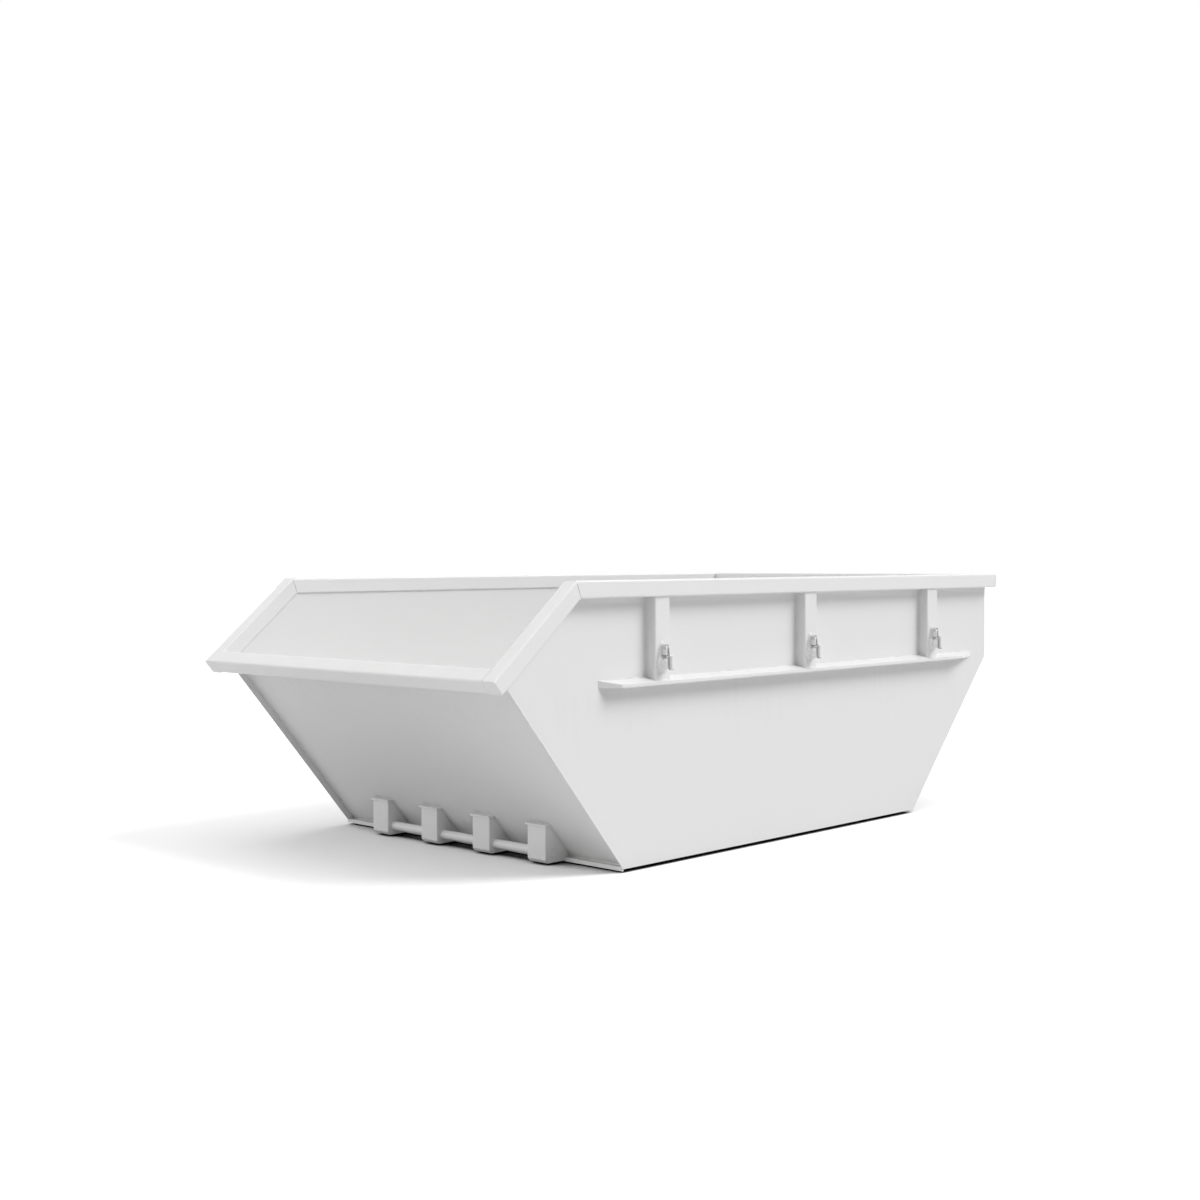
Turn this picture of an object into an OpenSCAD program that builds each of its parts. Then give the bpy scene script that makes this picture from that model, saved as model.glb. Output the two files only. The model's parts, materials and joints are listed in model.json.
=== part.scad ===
// Steel waste container with a low front lip, carried and tipped by a skip lorry.
// Every outline is drawn from the front bottom corner of the side plates: x runs
// back along the floor and z runs up from its underside.

/* [Body] */
// Width over the outer faces of the two side plates
body_w = 1800; // [1500:10:2100]
// Length of the flat floor
base_len = 2104; // [1700:4:2600]
// Height of the rim's top above the underside of the floor
rim_top = 1162; // [1080:2:1400]
// Height of the front lip's upper edge above the underside of the floor
lip_top = 798; // [740:2:860]
// How far the front lip stands out ahead of the floor
lip_reach = 748; // [700:2:860]
// Lean of the front wall from the vertical
front_lean = 39.7; // [36:0.1:42]
// Fall of the rim towards the front lip
rim_fall = 40.2; // [36:0.1:44]
// How far the rear wall stands out behind the floor
rear_reach = 681; // [500:1:800]
// Height at which the rear slope turns into the upright rear wall
kink_z = 732; // [600:2:900]
// Thickness of the side plates
side_t = 5; // [3:0.5:8]
// Thickness of the floor plate
floor_t = 8; // [5:0.5:12]
// Thickness of the front, slope and rear sheets
sheet_t = 6; // [4:0.5:8]
// Depth of the front sheet behind the front edges of the side plates
front_setback = 30; // [20:1:40]
// Depth of the rear sheets behind the rear edges of the side plates
rear_setback = 10; // [5:1:20]
// Thickness of the sill's upright leg in front of the floor
sill_t = 5; // [3:0.5:8]
// Distance the sill reaches below the floor
sill_drop = 8; // [5:0.5:12]
// Depth of the sill's foot under the floor
sill_foot = 40; // [20:1:60]

/* [Rim] */
// Outer size of the square rim tube
rim_size = 70; // [60:1:80]
// Wall of the rim tube
rim_wall = 5; // [3:0.5:8]
// Outer corner radius of the rim tube
rim_corner = 8; // [6:0.5:10]
// Overhang of the rim beyond the outer face of each side plate
side_overhang = 57; // [50:1:60]
// Overhang of the rim beyond the rear edges of the side plates
rear_overhang = 14; // [5:1:40]
// Front end of the folded edge that laps the front lip from below
flange_start = 18; // [10:1:40]
// Gap between the folded edge and the front lip above it
flange_gap = 0.1; // [0.05:0.05:0.5]

/* [Side stiffening] */
// Height of the ledge's underside above the underside of the floor
ledge_z = 736; // [690:2:780]
// Depth of the ledge from the side plate to its nose
ledge_depth = 62; // [56:1:70]
// Height of the ledge at its nose
ledge_nose = 13; // [8:1:20]
// Height of the ledge where it meets the side plate
ledge_root = 29; // [22:1:40]
// Distance of the ledge's front tip ahead of the floor
ledge_lead = 143; // [100:1:200]
// Length of the ledge from tip to tip along the side plate
ledge_len = 2783; // [2500:1:2850]
// Length of the taper at the ledge's front end
ledge_front_taper = 75; // [40:1:120]
// Length of the taper at the ledge's rear end
ledge_rear_taper = 170; // [80:1:200]
// Wall of the folded ledge
ledge_wall = 5; // [3:0.5:6]
// Position of the middle posts behind the front end of the floor
post_middle = 1195; // [1150:1:1250]
// Distance from the middle posts to the front and rear posts
post_pitch = 1008; // [900:2:1050]
// Width of a post
post_w = 92; // [80:1:100]
// Depth of a post
post_d = 48; // [40:1:54]
// Wall of a post
post_wall = 5; // [3:0.5:7]
// Outer corner radius of a post
post_corner = 8; // [6:0.5:10]
// Width of a rear rib
rib_w = 70; // [50:1:90]
// Depth of a rear rib
rib_d = 22; // [15:1:24]
// Distance between the two rear ribs
rib_pitch = 700; // [500:10:900]

/* [Lifting lugs] */
// Height of the lifting pins above the underside of the floor
pin_z = 823; // [816:1:840]
// Diameter of a lifting pin
pin_d = 46; // [40:1:50]
// Free length of a lifting pin outside its root collar
pin_reach = 22; // [20:1:36]
// Rounding of the pin's end
pin_round = 6; // [2:0.5:10]
// Diameter of the pin's root collar
collar_d = 62; // [56:1:66]
// Thickness of the pin's root collar
collar_t = 6; // [5:0.5:6.5]
// Rounding of the root collar's outer edge
collar_round = 3; // [0.5:0.5:5]
// Thickness of the pear-shaped backing plate
lug_plate_t = 8; // [6:0.5:14]
// Rounding of the backing plate at its lower end
lug_low_r = 36; // [34:1:44]
// Rounding of the backing plate at its upper end
lug_high_r = 20; // [18:1:28]
// Height of the latch hinge above the lifting pin
hinge_rise = 64; // [60:1:70]
// Distance of the latch hinge from the backing plate
hinge_out = 12; // [12:0.5:16]
// Thickness of each hinge ear
ear_t = 6; // [5:0.5:8]
// Gap between the root collar and the foot of the hinge ears
ear_foot_gap = 1; // [0.5:0.5:3]
// Rounding of the hinge ears
ear_r = 10; // [9:0.5:11]
// Diameter of the hinge pin
hinge_d = 10; // [8:0.5:10]
// Gap around the hinge pin in its bores
hinge_gap = 0.05; // [0.02:0.01:0.1]
// Diameter of the hinge pin's head
hinge_head_d = 15; // [13:0.5:18]
// Thickness of the hinge pin's head
hinge_head_t = 3.5; // [2:0.5:6]
// Length of the hinge pin that stands out beyond the far ear
hinge_tail = 3; // [1:0.5:6]
// Thickness of the drop latch
latch_t = 12; // [8:0.5:16]
// Width of the latch bar
bar_w = 10; // [9:0.5:10.5]
// Gap between the latch and each hinge ear
latch_gap = 0.3; // [0.2:0.05:0.6]
// Gap between the lifting pin and the latch bar above it
arm_gap = 4; // [3:0.5:6]
// Reach of the latch finger below the lifting pin
finger_drop = 4; // [2:1:20]
// Reach of the thumb tab out from the latch finger
tab_reach = 5; // [2:0.5:10]
// Thickness of the thumb tab
tab_t = 5; // [4:0.5:8]

/* [Tipping gear] */
// Diameter of the tipping bar
tip_bar_d = 38; // [32:1:44]
// Distance of the tipping bar's axis ahead of the floor
tip_bar_lead = 74; // [70:1:78]
// Height of the tipping bar's axis above the underside of the floor
tip_bar_z = 34; // [32:1:44]
// Distance from one tipping bracket to the next
bracket_pitch = 342; // [300:2:380]
// Width of a tipping bracket
bracket_w = 108; // [90:1:130]
// Distance of the bracket's front face ahead of the floor
bracket_lead = 112; // [110:1:126]
// Height of the bracket's top above the underside of the floor
bracket_top = 154; // [140:1:160]
// Plate thickness of a tipping bracket
bracket_t = 8; // [6:0.5:12]
// Outer corner radius of a tipping bracket
bracket_corner = 4; // [2:0.5:8]
// Gap around the tipping bar where it passes through a bracket
tip_bar_gap = 0.2; // [0.1:0.05:0.5]
// Size of the bevel at the bracket's lower front edge
bracket_bevel = 14; // [8:1:16]
// Distance the bracket's underside lies below the floor
bracket_drop = 6; // [3:0.5:8]
// Thickness of the cap on a tipping bracket
cap_t = 8; // [4:0.5:10]
// Overhang of the cap beyond the bracket
cap_lip = 7; // [1:0.5:9]

/* [Skids] */
// Height of the skids under the floor
skid_h = 16; // [14:1:30]
// Width of a skid
skid_w = 90; // [60:1:120]
// Distance from each side edge of the floor to the outer skids
skid_side_inset = 210; // [50:10:350]
// Distance from each end of the floor to the skids
skid_inset = 70; // [30:1:150]
// Length of the ramp at each end of a skid
skid_ramp = 30; // [10:1:60]

/* [Hidden] */
$fn = 48;
far = 6000;
cut_past = 1;
bevel_turn = 45;
LEFT = -1;
CENTRE = 0;
RIGHT = 1;
FRONT = -1;
MIDDLE = 0;
REAR = 1;

half_w = body_w / 2;
inner_w = body_w - 2 * side_t;
rim_out = half_w + side_overhang;
rim_in = rim_out - rim_size;
rim_under = rim_top - rim_size;
lean = tan(front_lean);
slant_run = (rim_top - lip_top) / tan(rim_fall);
slant_top_x = slant_run - lip_reach;
slant_len = (rim_top - lip_top) / sin(rim_fall);
rear_x = base_len + rear_reach;
rim_end = rear_x + rear_overhang;
mid_x = (rim_end - lip_reach) / 2;
rear_lean = atan(rear_reach / kink_z);
bracket_depth = bracket_lead + front_point(front_setback, floor_t)[0];
bracket_places = [-1.5, -0.5, 0.5, 1.5];
ear_low = collar_d / 2 + ear_foot_gap;
ear_span = latch_t + 2 * latch_gap;
stop_h = hinge_out - latch_gap;
arm_low = pin_d / 2 + arm_gap;
finger_in = collar_t + pin_reach + latch_gap;
finger_end = -pin_d / 2 - finger_drop;

// A point given along the falling rim (u) and square to it (w)
function rim_point(u, w) = [
    -lip_reach + u * cos(rim_fall) - w * sin(rim_fall),
    lip_top + u * sin(rim_fall) + w * cos(rim_fall)
];

// Where a line parallel to the front wall, c behind the plates' front edges, crosses height w
function rim_cross(c, w) =
    (c / cos(front_lean) + lip_reach - lean * lip_top
        + w * (sin(rim_fall) - lean * cos(rim_fall)))
    / (cos(rim_fall) + lean * sin(rim_fall));

// A point on the front wall at height z, c behind the plates' front edges
function front_point(c, z) = [c / cos(front_lean) - lean * z, z];

// A point on the rear slope at height z, c ahead of the plates' rear edges
function slope_point(c, z) = [base_len + z * tan(rear_lean) - c / cos(rear_lean), z];

// The turn of the rear sheets, c ahead of the plates' rear edges
function kink_point(c) = [rear_x - c, kink_z + c * (1 / cos(rear_lean) - 1) / tan(rear_lean)];

// Moves a piece from the drawing's corner to the middle of the container, on its skids
module placed() {
    translate([-mid_x, 0, skid_h]) children();
}

// Stands a side-view outline up and gives it a width, centred on y
module across(width, y = 0) {
    translate([0, y + width / 2, 0])
        rotate([90, 0, 0])
            linear_extrude(width)
                children();
}

// Turns a piece drawn outward along +Y to the chosen side
module outward(side) {
    if (side > 0)
        children();
    else
        mirror([0, 1, 0]) children();
}

// A square with true round corners, its low corner at the origin
module round_square(size, r) {
    translate([r, 0]) square([size - 2 * r, size]);
    translate([0, r]) square([size, size - 2 * r]);
    for (x = [r, size - r], y = [r, size - r])
        translate([x, y]) circle(r);
}

module tube_section() {
    difference() {
        round_square(rim_size, rim_corner);
        translate([rim_wall, rim_wall])
            round_square(rim_size - 2 * rim_wall, rim_corner - rim_wall);
    }
}

// A rim tube that runs along +X from the origin, its low corner on the axis
module tube_x(length) {
    rotate([90, 0, 90]) linear_extrude(length) tube_section();
}

// A rim tube that runs along +Y from the origin
module tube_y(length) {
    translate([0, length, 0]) rotate([90, 0, 0]) linear_extrude(length) tube_section();
}

// The frame of the falling rim: x along it, z square to it, zero at its upper front edge
module along_fall() {
    translate([-lip_reach, 0, lip_top]) rotate([0, -rim_fall, 0]) children();
}

// Everything ahead of the mitre between a top rail and a slant rail
module ahead_of_mitre() {
    translate([slant_top_x, 0, rim_top])
        rotate([0, -rim_fall / 2, 0])
            translate([-far, -far / 2, -far / 2])
                cube([far, far, far]);
}

module floor_plate() {
    color("gainsboro")
        placed()
            translate([0, -inner_w / 2, 0])
                cube([base_len, inner_w, floor_t]);
}

module skid(place) {
    color("silver")
        placed()
            across(skid_w, place * (inner_w / 2 - skid_side_inset - skid_w / 2))
                polygon([
                    [skid_inset + skid_ramp, -skid_h],
                    [base_len - skid_inset - skid_ramp, -skid_h],
                    [base_len - skid_inset, 0],
                    [skid_inset, 0]
                ]);
}

// Strip along the floor's front edge, with a foot that reaches back under the floor
module front_sill() {
    color("white")
        placed() {
            across(body_w)
                translate([-sill_t, -sill_drop])
                    square([sill_t, sill_drop]);
            across(inner_w)
                translate([-sill_t, -sill_drop])
                    square([sill_t, sill_drop + floor_t]);
            across(inner_w - 2 * sill_foot)
                translate([-sill_t, -sill_drop])
                    square([sill_t + sill_foot, sill_drop]);
        }
}

// Flat plate whose top edges meet the undersides of the rim tubes
module side_plate(side) {
    color("white")
        placed()
            across(side_t, side * (half_w - side_t / 2))
                polygon([
                    [0, 0],
                    [base_len, 0],
                    [rear_x, kink_z],
                    [rear_x, rim_under],
                    [slant_top_x + rim_size * tan(rim_fall / 2), rim_under],
                    rim_point(rim_cross(0, -rim_size), -rim_size)
                ]);
}

// Front wall, folded forward at the top so that it laps the front lip from below
module front_sheet() {
    inner = front_setback + sheet_t;
    high = -rim_size - flange_gap;
    low = high - sheet_t;
    color("white")
        placed()
            across(inner_w)
                polygon([
                    front_point(front_setback, floor_t),
                    front_point(inner, floor_t),
                    rim_point(rim_cross(inner, high), high),
                    rim_point(flange_start, high),
                    rim_point(flange_start, low),
                    rim_point(rim_cross(front_setback, low), low)
                ]);
}

module rear_slope_sheet() {
    inner = rear_setback + sheet_t;
    color("white")
        placed()
            across(inner_w)
                polygon([
                    slope_point(rear_setback, floor_t),
                    kink_point(rear_setback),
                    kink_point(inner),
                    slope_point(inner, floor_t)
                ]);
}

module rear_wall_sheet() {
    inner = rear_setback + sheet_t;
    color("white")
        placed()
            across(inner_w)
                polygon([
                    kink_point(rear_setback),
                    [rear_x - rear_setback, rim_under],
                    [rear_x - inner, rim_under],
                    kink_point(inner)
                ]);
}

// Straight rim tube along the top of one side, mitred to the falling tube
module top_rail(side) {
    color("white")
        placed()
            difference() {
                translate([slant_top_x, side > 0 ? rim_in : -rim_out, rim_under])
                    tube_x(rim_end - rim_wall - slant_top_x);
                ahead_of_mitre();
            }
}

// Rim tube that falls from the top rail to the front lip
module slant_rail(side) {
    color("white")
        placed()
            intersection() {
                along_fall()
                    translate([rim_wall, side > 0 ? rim_in : -rim_out, -rim_size])
                        tube_x(slant_len + rim_size);
                ahead_of_mitre();
            }
}

// Front lip between the two slant rails
module front_lip_rail() {
    color("white")
        placed()
            along_fall()
                translate([0, -rim_in, -rim_size])
                    tube_y(2 * rim_in);
}

module rear_rail() {
    color("white")
        placed()
            translate([rim_end - rim_size, -rim_in, rim_under])
                tube_y(2 * rim_in);
}

// Plates that close the open ends of the side tubes
module rail_end_caps() {
    color("white")
        placed()
            for (y = [-rim_out, rim_in]) {
                translate([rim_end - rim_wall, y, rim_under])
                    rotate([90, 0, 90])
                        linear_extrude(rim_wall)
                            round_square(rim_size, rim_corner);
                along_fall()
                    translate([0, y, -rim_size])
                        rotate([90, 0, 90])
                            linear_extrude(rim_wall)
                                round_square(rim_size, rim_corner);
            }
}

// Cross-section of a ledge, from the side plate out to its nose, drop below its foot
module ledge_section(drop) {
    polygon([
        [0, -drop],
        [ledge_depth, -drop],
        [ledge_depth, ledge_nose],
        [0, ledge_root]
    ]);
}

// Hollow under the folded ledge, open below and towards the side plate
module ledge_hollow_section() {
    fall = (ledge_root - ledge_nose) / ledge_depth;
    thick = ledge_wall * sqrt(1 + fall * fall);
    polygon([
        [-cut_past, -cut_past],
        [ledge_depth - ledge_wall, -cut_past],
        [ledge_depth - ledge_wall, ledge_nose + fall * ledge_wall - thick],
        [-cut_past, ledge_root + fall * cut_past - thick]
    ]);
}

// Distance along the side plate that a wall takes up in a taper of the given length
function taper_wall(taper, wall) = wall * sqrt(1 + pow(taper / ledge_depth, 2));

// Plan of a ledge with its tapered ends, drawn in by a wall
module ledge_plan(wall) {
    front = taper_wall(ledge_front_taper, wall);
    rear = ledge_len - taper_wall(ledge_rear_taper, wall);
    polygon([
        [front, 0],
        [rear, 0],
        [rear - ledge_rear_taper, ledge_depth],
        [front + ledge_front_taper, ledge_depth]
    ]);
}

// Turns a section drawn outward from the side plate into a bar along it
module along_side(side, start, length) {
    translate([start, side * half_w, ledge_z])
        outward(side)
            rotate([90, 0, 90])
                linear_extrude(length)
                    children();
}

// A section run along the side plate and cut to a plan of the ledge
module ledge_form(side, wall) {
    intersection() {
        along_side(side, -ledge_lead, ledge_len) children();
        translate([-ledge_lead, side * half_w, 0])
            outward(side)
                linear_extrude(rim_top)
                    ledge_plan(wall);
    }
}

// Folded shelf-like stiffener with a sloping top and tapered ends
module ledge(side) {
    color("white")
        placed()
            difference() {
                ledge_form(side, 0) ledge_section(0);
                ledge_form(side, ledge_wall) ledge_hollow_section();
            }
}

// A strip from the line y = 0 outward, round at its two far corners
module rounded_strip(width, depth, corner) {
    if (corner > 0) {
        translate([-width / 2, 0]) square([width, depth - corner]);
        translate([corner - width / 2, 0]) square([width - 2 * corner, depth]);
        for (x = [corner - width / 2, width / 2 - corner])
            translate([x, depth - corner]) circle(corner);
    } else {
        translate([-width / 2, 0]) square([width, depth]);
    }
}

// Open channel with round outer corners, its open side on the line y = 0
module channel_section(width, depth, wall, corner) {
    difference() {
        rounded_strip(width, depth, corner);
        translate([0, -cut_past])
            rounded_strip(width - 2 * wall, depth - wall + cut_past, corner - wall);
    }
}

function post_x(place) = post_middle + place * post_pitch;

// Channel between the rim and the ledge, its foot cut to the ledge's slope
module post(side, place) {
    color("white")
        placed()
            difference() {
                translate([post_x(place), side * half_w, ledge_z])
                    outward(side)
                        linear_extrude(rim_under - ledge_z)
                            channel_section(post_w, post_d, post_wall, post_corner);
                along_side(side, post_x(place) - post_w, 2 * post_w)
                    ledge_section(ledge_root);
            }
}

// Shallow channel on the upright part of the rear wall
module rear_rib(side) {
    color("white")
        placed()
            translate([rear_x - rear_setback, side * rib_pitch / 2, kink_point(rear_setback)[1]])
                rotate([0, 0, -90])
                    linear_extrude(rim_under - kink_point(rear_setback)[1])
                        channel_section(rib_w, rib_d, post_wall, post_corner);
}

// The frame of one lug: x along the side, y outward from the post, z up from the pin
module at_lug(side, place) {
    placed()
        translate([post_x(place), side * (half_w + post_d), pin_z])
            outward(side)
                children();
}

// Two circles joined by their tangents
module pear(low_r, high_r, rise) {
    tilt = asin((low_r - high_r) / rise);
    circle(low_r);
    translate([0, rise]) circle(high_r);
    polygon([
        [low_r * cos(tilt), low_r * sin(tilt)],
        [high_r * cos(tilt), rise + high_r * sin(tilt)],
        [-high_r * cos(tilt), rise + high_r * sin(tilt)],
        [-low_r * cos(tilt), low_r * sin(tilt)]
    ]);
}

// Side view of a hinge ear: x outward from the backing plate, y up from the pin
module ear_outline() {
    translate([hinge_out, hinge_rise]) circle(ear_r);
    translate([0, ear_low]) square([hinge_out + ear_r, hinge_rise - ear_low]);
    translate([0, hinge_rise]) square([hinge_out, ear_r]);
}

// Pear-shaped backing plate with the two ears that carry the latch
module lug_plate(side, place) {
    color("whitesmoke")
        at_lug(side, place)
            difference() {
                union() {
                    translate([0, lug_plate_t, 0])
                        rotate([90, 0, 0])
                            linear_extrude(lug_plate_t)
                                pear(lug_low_r, lug_high_r, hinge_rise);
                    for (x = [-ear_span / 2 - ear_t, ear_span / 2])
                        translate([x, lug_plate_t, 0])
                            rotate([90, 0, 90])
                                linear_extrude(ear_t)
                                    ear_outline();
                }
                translate([-ear_span / 2 - ear_t - cut_past, lug_plate_t + hinge_out, hinge_rise])
                    rotate([0, 90, 0])
                        cylinder(h = ear_span + 2 * (ear_t + cut_past), d = hinge_d + 2 * hinge_gap);
            }
}

// Half of a turned plug's side view, its outer edge rounded at the far end
module turned_outline(r, length, rounding) {
    square([r, length - rounding]);
    square([r - rounding, length]);
    translate([r - rounding, length - rounding])
        intersection() {
            circle(rounding);
            square(rounding);
        }
}

// Turned pin on a root collar, both with rounded edges
module lifting_pin(side, place) {
    color("whitesmoke")
        at_lug(side, place)
            translate([0, lug_plate_t, 0])
                rotate([-90, 0, 0])
                    rotate_extrude() {
                        turned_outline(collar_d / 2, collar_t, collar_round);
                        turned_outline(pin_d / 2, collar_t + pin_reach, pin_round);
                    }
}

// Side view of the drop latch: x outward from the backing plate, y up from the pin
module latch_outline() {
    difference() {
        union() {
            translate([hinge_out, hinge_rise]) circle(ear_r);
            translate([hinge_out, hinge_rise]) square([ear_r, stop_h]);
            translate([hinge_out - bar_w / 2, arm_low])
                square([bar_w, hinge_rise - arm_low]);
            translate([hinge_out, arm_low]) square([finger_in - hinge_out, bar_w]);
            translate([finger_in, arm_low])
                intersection() {
                    circle(bar_w);
                    square(bar_w);
                }
            translate([finger_in, finger_end + bar_w / 2])
                square([bar_w, arm_low - finger_end - bar_w / 2]);
            translate([finger_in + bar_w / 2, finger_end + bar_w / 2])
                circle(d = bar_w);
            translate([finger_in + bar_w / 2, finger_end])
                square([bar_w / 2 + tab_reach, tab_t]);
            translate([finger_in + bar_w + tab_reach, finger_end + tab_t / 2])
                circle(d = tab_t);
        }
        translate([hinge_out, hinge_rise]) circle(d = hinge_d + 2 * hinge_gap);
    }
}

// Gravity latch that hangs in front of the lifting pin and keeps the chain ring on it
module drop_latch(side, place) {
    color("darkgray")
        at_lug(side, place)
            translate([-latch_t / 2, lug_plate_t, 0])
                rotate([90, 0, 90])
                    linear_extrude(latch_t)
                        latch_outline();
}

// Headed cross pin through the ears and the latch
module hinge_pin(side, place) {
    span = ear_span + 2 * ear_t;
    color("silver")
        at_lug(side, place)
            translate([-span / 2, lug_plate_t + hinge_out, hinge_rise])
                rotate([0, 90, 0])
                    rotate_extrude() {
                        translate([0, -hinge_head_t]) square([hinge_head_d / 2, hinge_head_t]);
                        square([hinge_d / 2, span + hinge_tail]);
                    }
}

// Side view of a bracket cheek, from its front face back to the front sheet
module cheek_outline() {
    top = bracket_top - cap_t;
    polygon([
        [-bracket_lead, top],
        [-bracket_lead, bracket_bevel - bracket_drop],
        [bracket_bevel - bracket_lead, -bracket_drop],
        [-sill_t, -bracket_drop],
        [-sill_t, floor_t],
        front_point(front_setback, floor_t),
        front_point(front_setback, top)
    ]);
}

// Sole that closes a bracket from below, between its cheeks
module sole_outline() {
    bend = bracket_t * tan(bevel_turn / 2);
    polygon([
        [-bracket_lead, bracket_bevel - bracket_drop],
        [bracket_bevel - bracket_lead, -bracket_drop],
        [-sill_t, -bracket_drop],
        [-sill_t, bracket_t - bracket_drop],
        [bracket_bevel - bracket_lead + bend, bracket_t - bracket_drop],
        [bracket_t - bracket_lead, bracket_bevel - bracket_drop + bend]
    ]);
}

// Folded box that carries the tipping bar, place counted from the middle in pitches
module tipping_bracket(place) {
    y = place * bracket_pitch;
    color("lightgray")
        placed()
            difference() {
                union() {
                    intersection() {
                        across(bracket_w, y) cheek_outline();
                        translate([bracket_depth - bracket_lead, y, -bracket_drop])
                            rotate([0, 0, 90])
                                linear_extrude(bracket_top + bracket_drop)
                                    channel_section(bracket_w, bracket_depth, bracket_t,
                                        bracket_corner);
                    }
                    across(bracket_w - 2 * bracket_t, y) sole_outline();
                }
                translate([-tip_bar_lead, y + bracket_w / 2 + cut_past, tip_bar_z])
                    rotate([90, 0, 0])
                        cylinder(h = bracket_w + 2 * cut_past, d = tip_bar_d + 2 * tip_bar_gap);
            }
}

module tipping_bracket_caps() {
    low = bracket_top - cap_t;
    front = -bracket_lead - cap_lip;
    color("lightgray")
        placed()
            for (place = bracket_places)
                across(bracket_w + 2 * cap_lip, place * bracket_pitch)
                    polygon([
                        [front, low],
                        front_point(front_setback, low),
                        front_point(front_setback, bracket_top),
                        [front, bracket_top]
                    ]);
}

// Round bar through all the brackets, flush with the outermost cheeks
module tipping_bar() {
    span = (bracket_places[3] - bracket_places[0]) * bracket_pitch + bracket_w;
    color("lightgray")
        placed()
            translate([-tip_bar_lead, span / 2, tip_bar_z])
                rotate([90, 0, 0])
                    cylinder(h = span, d = tip_bar_d);
}

floor_plate();
front_sill();
skid(LEFT);  // left_skid
skid(CENTRE);  // middle_skid
skid(RIGHT);  // right_skid
side_plate(LEFT);  // left_side_plate
side_plate(RIGHT);  // right_side_plate
front_sheet();
rear_slope_sheet();
rear_wall_sheet();
top_rail(LEFT);  // left_top_rail
top_rail(RIGHT);  // right_top_rail
slant_rail(LEFT);  // left_slant_rail
slant_rail(RIGHT);  // right_slant_rail
front_lip_rail();
rear_rail();
rail_end_caps();
ledge(LEFT);  // left_ledge
ledge(RIGHT);  // right_ledge
post(LEFT, FRONT);  // left_front_post
post(LEFT, MIDDLE);  // left_middle_post
post(LEFT, REAR);  // left_rear_post
post(RIGHT, FRONT);  // right_front_post
post(RIGHT, MIDDLE);  // right_middle_post
post(RIGHT, REAR);  // right_rear_post
rear_rib(LEFT);  // left_rear_rib
rear_rib(RIGHT);  // right_rear_rib
lug_plate(LEFT, FRONT);  // left_front_lug_plate
lug_plate(LEFT, MIDDLE);  // left_middle_lug_plate
lug_plate(LEFT, REAR);  // left_rear_lug_plate
lug_plate(RIGHT, FRONT);  // right_front_lug_plate
lug_plate(RIGHT, MIDDLE);  // right_middle_lug_plate
lug_plate(RIGHT, REAR);  // right_rear_lug_plate
lifting_pin(LEFT, FRONT);  // left_front_lifting_pin
lifting_pin(LEFT, MIDDLE);  // left_middle_lifting_pin
lifting_pin(LEFT, REAR);  // left_rear_lifting_pin
lifting_pin(RIGHT, FRONT);  // right_front_lifting_pin
lifting_pin(RIGHT, MIDDLE);  // right_middle_lifting_pin
lifting_pin(RIGHT, REAR);  // right_rear_lifting_pin
drop_latch(LEFT, FRONT);  // left_front_drop_latch
drop_latch(LEFT, MIDDLE);  // left_middle_drop_latch
drop_latch(LEFT, REAR);  // left_rear_drop_latch
drop_latch(RIGHT, FRONT);  // right_front_drop_latch
drop_latch(RIGHT, MIDDLE);  // right_middle_drop_latch
drop_latch(RIGHT, REAR);  // right_rear_drop_latch
hinge_pin(LEFT, FRONT);  // left_front_hinge_pin
hinge_pin(LEFT, MIDDLE);  // left_middle_hinge_pin
hinge_pin(LEFT, REAR);  // left_rear_hinge_pin
hinge_pin(RIGHT, FRONT);  // right_front_hinge_pin
hinge_pin(RIGHT, MIDDLE);  // right_middle_hinge_pin
hinge_pin(RIGHT, REAR);  // right_rear_hinge_pin
tipping_bar();
tipping_bracket(bracket_places[0]);  // outer_left_tipping_bracket
tipping_bracket(bracket_places[1]);  // inner_left_tipping_bracket
tipping_bracket(bracket_places[2]);  // inner_right_tipping_bracket
tipping_bracket(bracket_places[3]);  // outer_right_tipping_bracket
tipping_bracket_caps();
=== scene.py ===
# %% [markdown]
# # A white steel waste container
#
# The real thing is a welded steel trough about three and a half metres long. A lorry lifts it by the
# pins on its sides and tips it by the round bar at its front. This lesson takes the finished
# construction as it is and gives it what construction drawings leave out: enamel that isn't quite
# flat, welds along the joints, rubbed edges, dust, and soft daylight.
#
# Everything is in metres. The origin lies on the ground under the middle of the container, +X points
# to its high rear end and +Z points up.

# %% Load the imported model
import json
import math

import bpy
from mathutils import Matrix, Vector


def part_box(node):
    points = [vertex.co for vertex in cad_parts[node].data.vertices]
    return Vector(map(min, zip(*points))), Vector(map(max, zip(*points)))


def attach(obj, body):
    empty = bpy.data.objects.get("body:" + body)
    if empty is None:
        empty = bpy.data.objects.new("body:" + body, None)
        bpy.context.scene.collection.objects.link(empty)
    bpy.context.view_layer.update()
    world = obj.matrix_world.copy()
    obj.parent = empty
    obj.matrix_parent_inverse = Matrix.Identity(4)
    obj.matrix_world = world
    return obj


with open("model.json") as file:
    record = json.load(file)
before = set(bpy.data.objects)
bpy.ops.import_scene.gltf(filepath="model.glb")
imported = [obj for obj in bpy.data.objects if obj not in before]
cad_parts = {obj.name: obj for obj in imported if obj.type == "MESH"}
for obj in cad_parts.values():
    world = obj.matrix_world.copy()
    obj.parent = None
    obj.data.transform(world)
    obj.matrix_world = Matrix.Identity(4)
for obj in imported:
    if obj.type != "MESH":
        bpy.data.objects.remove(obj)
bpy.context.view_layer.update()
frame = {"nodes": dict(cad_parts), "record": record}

nodes = frame["nodes"]
MM = 0.001
BODY = "container"

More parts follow.
